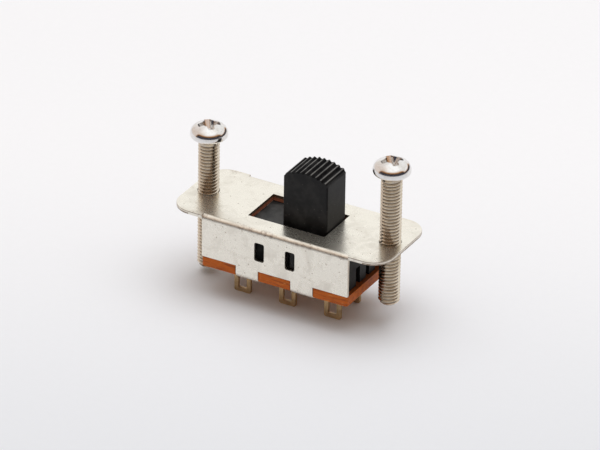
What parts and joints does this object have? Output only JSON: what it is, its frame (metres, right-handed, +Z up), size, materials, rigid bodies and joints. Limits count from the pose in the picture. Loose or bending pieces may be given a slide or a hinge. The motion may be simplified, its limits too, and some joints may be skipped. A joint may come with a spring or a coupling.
{
  "type": "slide switch",
  "caption": "Panel-mount slide switch: folded steel frame with ears and long screws, ribbed black slider, brown terminal board and solder lugs.",
  "frame": {"origin": "under the middle of the switch, level with the ends of the solder lugs", "axes": "+X along the slide towards the rest position, +Y towards the rear row of terminals, +Z up through the slider's grip"},
  "size_m": [0.034, 0.0136, 0.0254],
  "materials": {
    "plated_steel": "satin tin plating",
    "liner_fibre": "matt pressed fibre",
    "phenolic_board": "sawn phenolic laminate",
    "terminal_metal": "dull tinned brass",
    "screw_steel": "bright nickel plating",
    "black_plastic": "matt moulding",
    "contact_bronze": "satin strip",
    "plunger_plastic": "matt moulding",
    "spring_steel": "drawn wire"
  },
  "bodies": {
    "case": {"frame": "plated_steel", "liner": "liner_fibre", "base": "phenolic_board", "terminal_front_left": "terminal_metal", "terminal_front_centre": "terminal_metal", "terminal_front_right": "terminal_metal", "terminal_rear_left": "terminal_metal", "terminal_rear_centre": "terminal_metal", "terminal_rear_right": "terminal_metal", "screw_left": "screw_steel", "screw_right": "screw_steel"},
    "slider": {"slider": "black_plastic", "contact_clip_front": "contact_bronze", "contact_clip_rear": "contact_bronze", "detent_plunger_front": "plunger_plastic", "detent_plunger_rear": "plunger_plastic", "detent_spring": "spring_steel"}
  },
  "joints": [
    {"name": "slider_slide", "type": "slide", "parent": "case", "child": "slider", "axis": [1, 0, 0], "range_m": [-0.0048, 0]}
  ]
}
